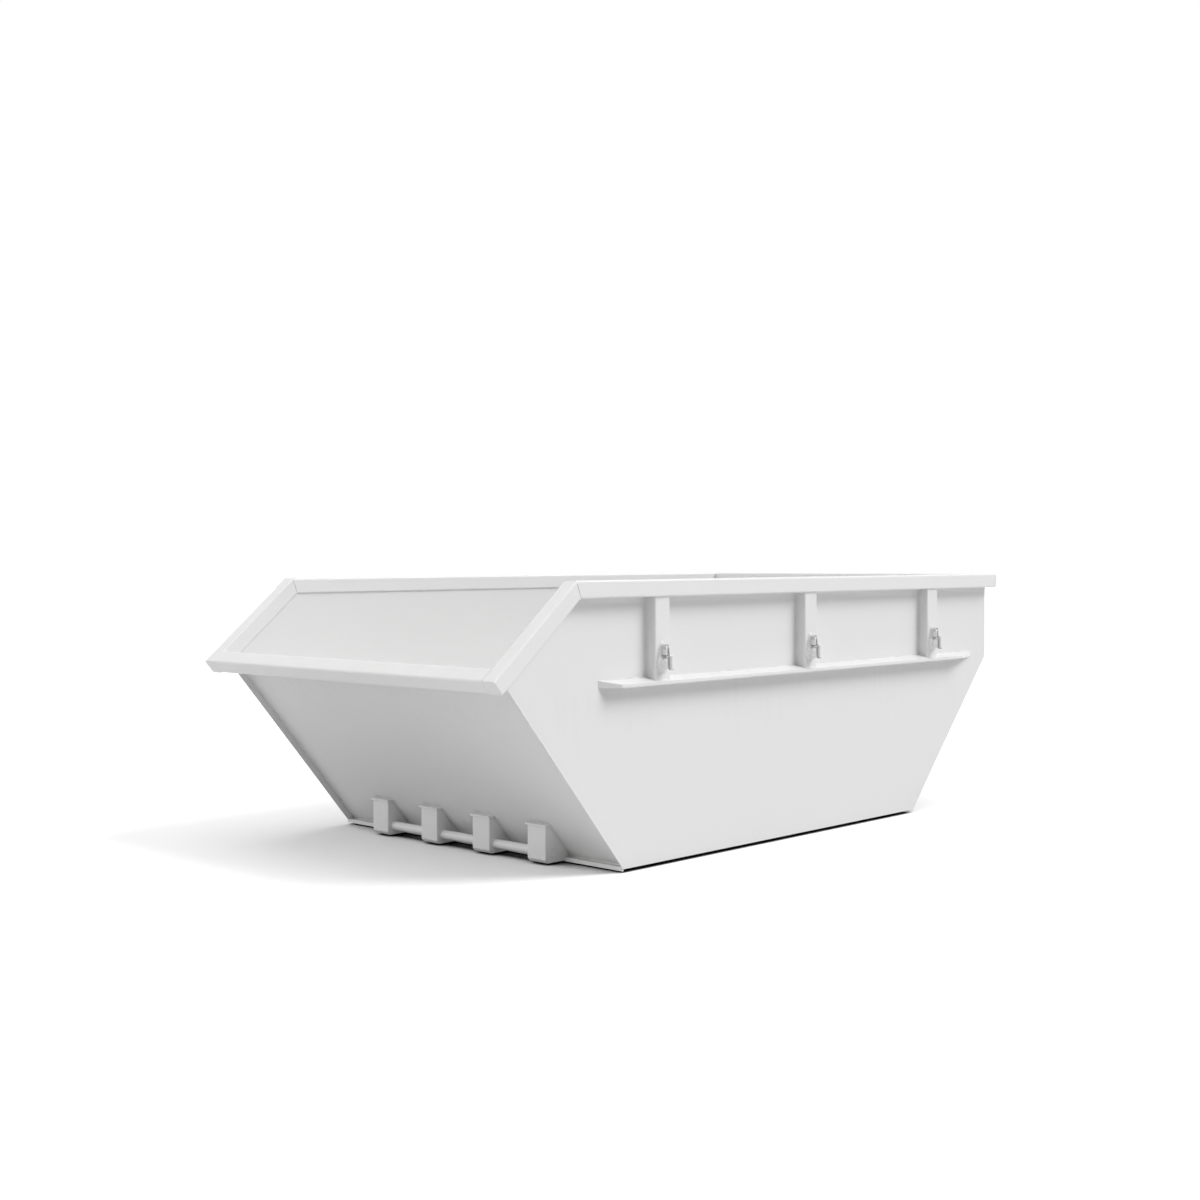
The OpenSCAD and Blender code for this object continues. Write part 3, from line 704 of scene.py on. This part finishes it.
def copy_piece(piece, name, slot, shift=(0.0, 0.0, 0.0), mirror=False):
    """A copy with its own mesh, moved and, for the other side, mirrored."""
    copy = piece.copy()
    copy.data = piece.data.copy()
    bpy.context.scene.collection.objects.link(copy)
    deselect_all()
    copy.select_set(True)
    bpy.context.view_layer.objects.active = copy
    copy.location = shift
    copy.scale.y = -1.0 if mirror else 1.0
    bpy.ops.object.transform_apply(location=True, rotation=True, scale=True)
    if mirror:
        bpy.ops.object.mode_set(mode="EDIT")
        bpy.ops.mesh.select_all(action="SELECT")
        bpy.ops.mesh.normals_make_consistent(inside=False)
        bpy.ops.object.mode_set(mode="OBJECT")
    return finish_piece(copy, name, slot)


# %% [markdown]
# ### Welds of the trough
#
# The sheets that close the front and the rear lie between the side plates, so a bead runs up each of
# their edges, inside and outside. The floor is welded all round from the inside. Plates of this size
# take beads about 8 mm wide.

# %% Inside the trough
SHEET_BEAD = 4 * MM

front_foot = corner("front_sheet", (1, 1, 0))
front_head = corner("front_sheet", (0, 1, 1))
slope_head = corner("rear_slope_sheet", (-1, 1, 1))
wall_head = corner("rear_wall_sheet", (-1, 1, 1))
inside_line = [front_head, front_foot, rear_foot, slope_head, wall_head]
inside_beads = []
for near, far in zip(inside_line, inside_line[1:]):
    inside_beads.append(bead([near, far], SHEET_BEAD))
    inside_beads.append(bead([mirrored(near), mirrored(far)], SHEET_BEAD))
for point in inside_line[1:4]:
    inside_beads.append(bead([point, mirrored(point)], SHEET_BEAD))
inside_welds = weld_set("inside_welds", "shell_paint", inside_beads)
print("inside welds:", len(inside_beads), "beads,", len(inside_welds.data.polygons), "faces")

# %% Outside the trough
FRONT_BEAD_SHARE = 0.97

front_foot_outside = corner("front_sheet", (-0.1, 1, -1))
front_head_outside = front_foot_outside + FRONT_BEAD_SHARE * (front_head - front_foot)
slope_foot_outside = corner("rear_slope_sheet", (0.1, 1, -1))
kink_outside = corner("rear_wall_sheet", (1, 1, -1))
wall_head_outside = corner("rear_wall_sheet", (1, 1, 1))
outside_line = [slope_foot_outside, kink_outside, wall_head_outside]
outside_beads = [bead([front_foot_outside, front_head_outside], SHEET_BEAD)]
for near, far in zip(outside_line, outside_line[1:]):
    outside_beads.append(bead([near, far], SHEET_BEAD))
outer_edge_welds = weld_set("right_outer_edge_welds", "shell_paint", outside_beads)
copy_piece(outer_edge_welds, "left_outer_edge_welds", "shell_paint", mirror=True)
rear_cross_welds = weld_set("rear_cross_welds", "shell_paint", [
    bead([point, mirrored(point)], SHEET_BEAD) for point in (slope_foot_outside, kink_outside)
])
print("outer edge welds:", len(outer_edge_welds.data.polygons), "faces a side")

# %% [markdown]
# ### Welds under the rim and on the ledges
#
# The side plate stands under the middle of the rim tube, so the joint has a bead outside and one
# inside. The ledge is welded along its top, which also keeps the rain out of it.

# %% Rim and ledge
RIM_BEAD = 3.5 * MM

plate_turn = corner("right_side_plate", (-1, 1, 3))
plate_rear = corner("right_side_plate", (1, 1, 1))
plate_front = corner("right_side_plate", (-1, 1, 0))
ledge_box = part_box("right_ledge")
plate_face = ledge_box[0].y
ledge_front = Vector((ledge_box[0].x, plate_face, ledge_box[1].z))
ledge_rear = Vector((ledge_box[1].x, plate_face, ledge_box[1].z))
plate_inner_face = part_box("right_side_plate")[0].y
inner_turn = Vector((plate_turn.x, plate_inner_face, plate_turn.z))
inner_rear = Vector((wall_head.x, plate_inner_face, plate_rear.z))
side_beads = [
    bead([plate_front, plate_turn], RIM_BEAD),
    bead([plate_turn, plate_rear], RIM_BEAD),
    bead([inner_turn, inner_rear], RIM_BEAD),
    bead([front_head, inner_turn], RIM_BEAD),
    bead([ledge_front, ledge_rear], RIM_BEAD),
]
side_welds = weld_set("right_side_welds", "rim_paint", side_beads)
copy_piece(side_welds, "left_side_welds", "rim_paint", mirror=True)
print("side welds:", len(side_welds.data.polygons), "faces a side")

# %% [markdown]
# The rim's joints differ. At the mitre the bead runs down the outer face, under the tube and up its
# inner face, and the top is ground flush. The lip and the rear rail butt against the side tubes, whose
# round edge leaves a groove. A bead fills it, sunk so far that it ends flush with the tubes.

# %% Joints of the rim
SEAM_BEAD = 2.5 * MM
SEAM_TURN = 10 * MM
SEAM_CORNER = 0.3
GROOVE_BEAD = 3.5 * MM
TUBE_CORNER = 8 * MM

rail_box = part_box("right_top_rail")
mitre_top = Vector((corner("right_top_rail", (-1, 0, 0.01)).x, 0.0, rail_box[1].z))
mitre_foot = Vector((corner("right_top_rail", (-1, 0, -10)).x, 0.0, rail_box[0].z))
outer, inner = rail_box[1].y * Y_WAY, rail_box[0].y * Y_WAY
outer_foot, inner_foot = mitre_foot + outer, mitre_foot + inner
drop = SEAM_TURN * (mitre_foot - mitre_top).normalized()
turn = -SEAM_TURN * Y_WAY
mitre = [
    mitre_top + outer + drop,
    outer_foot - drop,
    outer_foot - SEAM_CORNER * drop + SEAM_CORNER * turn,
    outer_foot + turn,
    inner_foot - turn,
    inner_foot - SEAM_CORNER * drop - SEAM_CORNER * turn,
    inner_foot - drop,
    mitre_top + inner + drop,
]


def groove(name, across, up):
    """A closed route round the square end of a tube, just under its surface."""
    wide = [point.co.dot(across) for point in nodes[name].data.vertices]
    tall = [point.co.dot(up) for point in nodes[name].data.vertices]
    right, left = max(wide) - TUBE_CORNER, min(wide) + TUBE_CORNER
    top, foot = max(tall) - TUBE_CORNER, min(tall) + TUBE_CORNER
    end = inner + SEAM_BEAD * Y_WAY
    radius = TUBE_CORNER - GROOVE_BEAD * RIPPLE_SWELL
    route = []
    for start, x, z in ((0, right, top), (90, left, top), (180, left, foot), (270, right, foot)):
        route += arc(x * across + z * up + end, radius, start, start + 90, across, up, steps=3)
    return route


fall_way = (plate_turn - plate_front).normalized()
fall_up = Vector((-fall_way.z, 0.0, fall_way.x))
rim_beads = [
    bead(mitre, SEAM_BEAD),
    bead(groove("front_lip_rail", fall_way, fall_up), GROOVE_BEAD, closed=True),
    bead(groove("rear_rail", X_WAY, Z_WAY), GROOVE_BEAD, closed=True),
]
rim_welds = weld_set("right_rim_welds", "rim_paint", rim_beads)
copy_piece(rim_welds, "left_rim_welds", "rim_paint", mirror=True)
print("rim welds:", len(rim_welds.data.polygons), "faces a side")

# %% [markdown]
# ### Welds of the posts
#
# What repeats is welded once and copied. The front right post gets five beads: two up the side plate, two
# out along the ledge, and one along its outer foot. Copies of them are moved along the side and mirrored
# to the other.

# %% Posts
POST_BEAD = 3 * MM
PLACES = ("front", "middle", "rear")


def place_shift(place, part="post"):
    """The way from the front right one to the same part at another place on that side."""
    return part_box("right_" + place + "_" + part)[0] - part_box("right_front_" + part)[0]


post_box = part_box("right_front_post")
post_beads = []
for x in (post_box[0].x, post_box[1].x):
    foot = Vector((x, plate_face, ledge_box[1].z))
    head = Vector((x, plate_face, post_box[1].z))
    toe = Vector((x, post_box[1].y, post_box[0].z))
    post_beads.append(bead([foot, head], POST_BEAD))
    post_beads.append(bead([foot, toe], POST_BEAD))
post_toes = [Vector((x, post_box[1].y, post_box[0].z)) for x in (post_box[0].x, post_box[1].x)]
post_beads.append(bead(post_toes, POST_BEAD))
first_post_welds = weld_set("right_front_post_welds", "stiffener_paint", post_beads)
for place in PLACES:
    shift = place_shift(place)
    if place != "front":
        copy_piece(first_post_welds, "right_" + place + "_post_welds", "stiffener_paint", shift)
    copy_piece(first_post_welds, "left_" + place + "_post_welds", "stiffener_paint", shift, mirror=True)
print("post welds:", len(first_post_welds.data.polygons), "faces each")

# %% [markdown]
# ### Welds of a lifting lug
#
# The pear-shaped plate is two circles joined by straight flanks. Its bead follows the same two arcs,
# whose centres are the lifting pin and the hinge. Thin beads run round the pin's root, up the outer side
# of each ear, and round the tail of the hinge pin, so that it can't slide out.

# %% Lifting lugs
PLATE_BEAD = 3 * MM
ROOT_BEAD = 2 * MM
TAIL_BEAD = 1.5 * MM

plate_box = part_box("right_front_lug_plate")
pin_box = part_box("right_front_lifting_pin")
hinge_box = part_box("right_front_hinge_pin")
pin_centre = (pin_box[0] + pin_box[1]) / 2
hinge_height = (hinge_box[0].z + hinge_box[1].z) / 2
low_radius = (plate_box[1].x - plate_box[0].x) / 2
high_radius = plate_box[1].z - hinge_height
tilt = math.degrees(math.asin((low_radius - high_radius) / (hinge_height - pin_centre.z)))
low_centre = Vector((pin_centre.x, plate_box[0].y, pin_centre.z))
high_centre = Vector((pin_centre.x, plate_box[0].y, hinge_height))
pear_route = arc(high_centre, high_radius, tilt, 180 - tilt, X_WAY, Z_WAY)
pear_route += arc(low_centre, low_radius, 180 - tilt, 360 + tilt, X_WAY, Z_WAY, steps=16)
root_centre = Vector((pin_centre.x, pin_box[0].y, pin_centre.z))
root_radius = (pin_box[1].x - pin_box[0].x) / 2
root_route = ring(root_centre, root_radius, X_WAY, Z_WAY)
ear_outer = [corner("right_front_lug_plate", (way, 3, 0)).x for way in (-1, 1)]
ear_foot = corner("right_front_lug_plate", (0, 30, -1)).z
ear_beads = [
    bead([Vector((x, pin_box[0].y, ear_foot)), Vector((x, pin_box[0].y, hinge_height))], ROOT_BEAD)
    for x in ear_outer
]
hinge_y = (hinge_box[0].y + hinge_box[1].y) / 2
tail = [point.co for point in nodes["right_front_hinge_pin"].data.vertices if point.co.x > ear_outer[1] + MM]
tail_radius = max(point.z for point in tail) - hinge_height
tail_centre = Vector((ear_outer[1], hinge_y, hinge_height))
tail_route = ring(tail_centre, tail_radius, Y_WAY, Z_WAY, points=12)
lug_beads = ear_beads + [
    bead(pear_route, PLATE_BEAD, closed=True),
    bead(root_route, ROOT_BEAD, closed=True),
    bead(tail_route, TAIL_BEAD, closed=True),
]
first_lug_welds = weld_set("right_front_lug_welds", "lug_paint", lug_beads)
for place in PLACES:
    shift = place_shift(place, "lug_plate")
    if place != "front":
        copy_piece(first_lug_welds, "right_" + place + "_lug_welds", "lug_paint", shift)
    copy_piece(first_lug_welds, "left_" + place + "_lug_welds", "lug_paint", shift, mirror=True)
print("lug welds:", len(first_lug_welds.data.polygons), "faces each, pear tilt", round(tilt, 1))

# %% [markdown]
# ### Welds of the tipping brackets
#
# Four brackets hold the tipping bar. Each is welded to the front wall along both cheeks and to the bar all
# round on both sides, and its cap is welded to the wall along its rear edge. One bracket gets its beads
# here, and copies of them go to the others.

# %% Tipping brackets
BRACKETS = ("outer_left", "inner_left", "inner_right", "outer_right")
BAR_BEAD = 2.5 * MM


def bracket_box(place):
    """The two corners of a bracket's box."""
    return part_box(place + "_tipping_bracket")


def bracket_shift(place):
    """The way from the inner right bracket to another."""
    return bracket_box(place)[0] - bracket_box("inner_right")[0]


inner_box = bracket_box("inner_right")
bar_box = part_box("tipping_bar")
cap_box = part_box("tipping_bracket_caps")
bar_centre = (bar_box[0] + bar_box[1]) / 2
bar_radius = (bar_box[1].z - bar_box[0].z) / 2
cheek_foot = corner("inner_right_tipping_bracket", (1, 0, 0))
cheek_head = corner("inner_right_tipping_bracket", (0.01, 0, 1))
bracket_beads = []
for y in (inner_box[0].y, inner_box[1].y):
    foot = Vector((cheek_foot.x, y, cheek_foot.z))
    head = Vector((cheek_head.x, y, cheek_head.z))
    round_bar = ring(Vector((bar_centre.x, y, bar_centre.z)), bar_radius, X_WAY, Z_WAY)
    bracket_beads += [bead([foot, head], POST_BEAD), bead(round_bar, BAR_BEAD, closed=True)]
cap_rear = corner("tipping_bracket_caps", (0.2, 0, 1))
cap_reach = cap_box[1].y - bracket_box("outer_right")[1].y
bracket_beads.append(bead([
    Vector((cap_rear.x, inner_box[0].y - cap_reach, cap_rear.z)),
    Vector((cap_rear.x, inner_box[1].y + cap_reach, cap_rear.z))
], BAR_BEAD))
first_bracket_welds = weld_set("inner_right_bracket_welds", "tipping_paint", bracket_beads)
for place in BRACKETS:
    if place != "inner_right":
        copy_piece(first_bracket_welds, place + "_bracket_welds", "tipping_paint", bracket_shift(place))
print("bracket welds:", len(first_bracket_welds.data.polygons), "faces each")

# %% [markdown]
# ### Welds of the front foot and the ribs
#
# The front wall is welded to the floor wherever no bracket stands in the way. So the list of edges
# alternates between the start and the end of a free stretch, and each pair gets a bead. At the rear a
# bead runs up both sides of each rib.

# %% Front sheet on the floor, between the brackets
edges = [-front_foot_outside.y]
for place in BRACKETS:
    edges += [bracket_box(place)[0].y, bracket_box(place)[1].y]
edges.append(front_foot_outside.y)
sill_beads = []
for start, end in zip(edges[::2], edges[1::2]):
    near = Vector((front_foot_outside.x, start, front_foot_outside.z))
    far = Vector((front_foot_outside.x, end, front_foot_outside.z))
    sill_beads.append(bead([near, far], SHEET_BEAD))
front_foot_welds = weld_set("front_foot_welds", "shell_paint", sill_beads)
print("beads between the brackets:", len(sill_beads))

# %% Rear ribs
rib_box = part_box("right_rear_rib")
rib_beads = []
for y in (rib_box[0].y, rib_box[1].y):
    foot = Vector((rib_box[0].x, y, rib_box[0].z))
    head = Vector((rib_box[0].x, y, rib_box[1].z))
    rib_beads.append(bead([foot, head], POST_BEAD))
rib_welds = weld_set("right_rib_welds", "stiffener_paint", rib_beads)
copy_piece(rib_welds, "left_rib_welds", "stiffener_paint", mirror=True)
print("rib welds:", len(rib_welds.data.polygons), "faces each")

# %% [markdown]
# ## Floor and light
#
# The container stands on a plain pale floor in even daylight, which is strongest straight overhead. That
# is what makes the soft shadows under the ledge, under the lip and around the foot. A soft key lamp
# stands high behind the viewer's right shoulder, so the side is bright and the front lies in shade. A
# broad, weaker lamp on the left keeps the shade clear. What the camera sees beyond the floor is plain
# white.
#
# The floor answers the eye and the light in two ways. A Light Path node tells them apart. Rays that
# carry light about meet a grey floor, so that less light comes back up and the underside stays dark.
# Rays that reach the eye meet a white one. In the thin gap under the base, where an Ambient Occlusion
# node finds something close above, that white is painted nearly black: painted shade. The white floor
# also carries painted light: for the eye only, it glows faintly where nothing stands within a metre, so
# the shadow is deep at the foot and soon fades. The glow lights nothing.

# %% Floor
FLOOR_SIZE = 120.0
FLOOR_SEEN = 1.0
FLOOR_BOUNCE = 0.62
FLOOR_ROUGHNESS = 0.9
GAP_PAINTED_SHADE = 0.02
GAP_REACH = 0.2
GAP_LIMITS = (0.1, 0.48)
FLOOR_PAINTED_GLOW = 0.26
GLOW_REACH = 1.0
GLOW_LIMITS = (0.45, 0.85)

deselect_all()
bpy.ops.mesh.primitive_plane_add(size=FLOOR_SIZE, location=(0.0, 0.0, 0.0))
floor = bpy.context.object
floor.name = "floor"


def seen_ray(tree):
    """1 for rays that reach the eye directly or by reflection, 0 for rays that carry light about."""
    ray = tree.nodes.new("ShaderNodeLightPath").outputs
    direct_or_glossy = maths(tree, "MAXIMUM", ray["Is Camera Ray"], ray["Is Glossy Ray"])
    return maths(tree, "MAXIMUM", direct_or_glossy, ray["Is Transmission Ray"])


floor_finish = bpy.data.materials.new("floor")
floor_finish.use_nodes = True
floor_tree = floor_finish.node_tree
floor_shader = floor_tree.nodes["Principled BSDF"]
floor_shader.inputs["Roughness"].default_value = FLOOR_ROUGHNESS
floor_shader.inputs["Specular IOR Level"].default_value = 0.0
# Painted shade: the floor's colour goes nearly black in the thin gap under the base.
outside_gap_shade = mask(floor_tree, openness(floor_tree, GAP_REACH, samples=8), *GAP_LIMITS)
seen_colour = blend_colours(floor_tree, outside_gap_shade, grey(GAP_PAINTED_SHADE), grey(FLOOR_SEEN))
floor_colour = blend_colours(floor_tree, seen_ray(floor_tree), grey(FLOOR_BOUNCE), seen_colour)
floor_tree.links.new(floor_colour, floor_shader.inputs["Base Color"])
# Painted light: the floor glows for the eye where it lies open, which lifts the far part of the shadow.
painted_glow = mask(floor_tree, openness(floor_tree, GLOW_REACH, samples=4), *GLOW_LIMITS, 0.0, FLOOR_PAINTED_GLOW)
seen_painted_glow = maths(floor_tree, "MULTIPLY", seen_ray(floor_tree), painted_glow)
floor_tree.links.new(seen_painted_glow, floor_shader.inputs["Emission Strength"])
floor.data.materials.append(floor_finish)
print("floor:", FLOOR_SIZE, "m wide, seen as", FLOOR_SEEN, "and bouncing light as", FLOOR_BOUNCE)

# %% [markdown]
# The sky is a world without a picture. Its light is the square of how steeply a ray looks up, so most of
# it comes from overhead and none from below. Rays that reach the eye see plain white instead.

# %% Sky
SKY = 0.98
SKY_FALL = 2.0

world = bpy.data.worlds.new("sky")
world.use_nodes = True
sky_tree = world.node_tree
sky_tree.nodes.clear()
way = sky_tree.nodes.new("ShaderNodeTexCoord").outputs["Generated"]
upward = maths(sky_tree, "MAXIMUM", node(sky_tree, "SeparateXYZ", {0: way}).outputs["Z"], 0.0)
overhead = maths(sky_tree, "MULTIPLY", maths(sky_tree, "POWER", upward, SKY_FALL), SKY)
sky_strength = mask(sky_tree, seen_ray(sky_tree), 0.0, 1.0, overhead, 1.0)
background = node(sky_tree, "Background", {"Color": grey(1.0), "Strength": sky_strength})
sky_out = sky_tree.nodes.new("ShaderNodeOutputWorld")
sky_tree.links.new(background.outputs[0], sky_out.inputs["Surface"])
bpy.context.scene.world = world
print("sky overhead:", SKY, "and at the horizon: 0")

# %% [markdown]
# A sun lamp's Angle is how wide it looks. A wide one casts the soft shadow of a large lamp in a studio.
# Its strength is given as the light on a card that faces it, so pi is multiplied in here.

# %% Lamps
def soft_lamp(name, way, angle, level):
    """A far lamp in a direction, angle degrees wide. Level is the light on a card that faces it."""
    data = bpy.data.lights.new(name, "SUN")
    data.angle = math.radians(angle)
    data.energy = level * math.pi
    lamp = bpy.data.objects.new(name, data)
    bpy.context.scene.collection.objects.link(lamp)
    lamp.rotation_euler = Vector(way).to_track_quat("Z", "Y").to_euler()
    print(name, "shines from", way)


soft_lamp("key_lamp", way=(0.45, -0.56, 0.70), angle=32.0, level=0.74)
soft_lamp("fill_lamp", way=(-0.80, 0.35, 0.50), angle=60.0, level=0.375)
